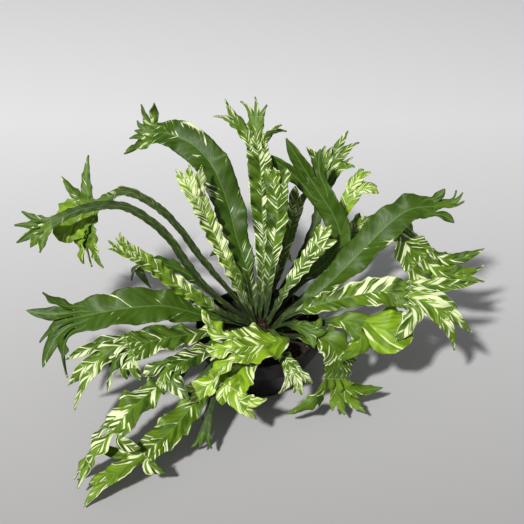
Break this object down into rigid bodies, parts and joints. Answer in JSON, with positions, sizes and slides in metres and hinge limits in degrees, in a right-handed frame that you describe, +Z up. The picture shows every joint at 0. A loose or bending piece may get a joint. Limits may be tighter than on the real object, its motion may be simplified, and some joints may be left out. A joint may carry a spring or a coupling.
{
  "type": "potted bird's-nest fern",
  "caption": "Crested, variegated bird's-nest fern in a small shallow nursery pot: arching fronds with forked tips rise from one crown set in soil.",
  "frame": {"origin": "middle of the pot's flat underside, on the surface the pot stands on", "axes": "+Z up along the pot's axis, +X to the right and the longest extent, +Y to the back"},
  "size_m": [0.3971, 0.269, 0.2101],
  "materials": {
    "pot_plastic": "black moulded plastic, slightly satin",
    "soil": "dark peat and bark potting mix, matt and rough",
    "crown_scales": "rough dark-brown scales",
    "leaf": "glossy living leaf, green with cream streaks along the veins"
  },
  "bodies": {
    "root": {"pot": "pot_plastic", "soil": "soil", "crown": "crown_scales", "frond_back_1": "leaf", "frond_back_2": "leaf", "frond_back_3": "leaf", "frond_back_4": "leaf", "frond_back_5": "leaf", "frond_back_6": "leaf", "frond_back_7": "leaf", "frond_back_8": "leaf", "frond_back_9": "leaf", "frond_back_10": "leaf", "frond_left_1": "leaf", "frond_left_2": "leaf", "frond_left_3": "leaf", "frond_left_4": "leaf", "frond_left_5": "leaf", "frond_left_6": "leaf", "frond_left_7": "leaf", "frond_front_1": "leaf", "frond_front_2": "leaf", "frond_front_3": "leaf", "frond_front_4": "leaf", "frond_front_5": "leaf", "frond_front_6": "leaf", "frond_front_7": "leaf", "frond_front_8": "leaf", "frond_front_9": "leaf", "frond_right_1": "leaf", "frond_right_2": "leaf", "frond_right_3": "leaf", "frond_right_4": "leaf", "frond_rear_1": "leaf", "frond_rear_2": "leaf", "frond_rear_3": "leaf"}
  },
  "joints": []
}
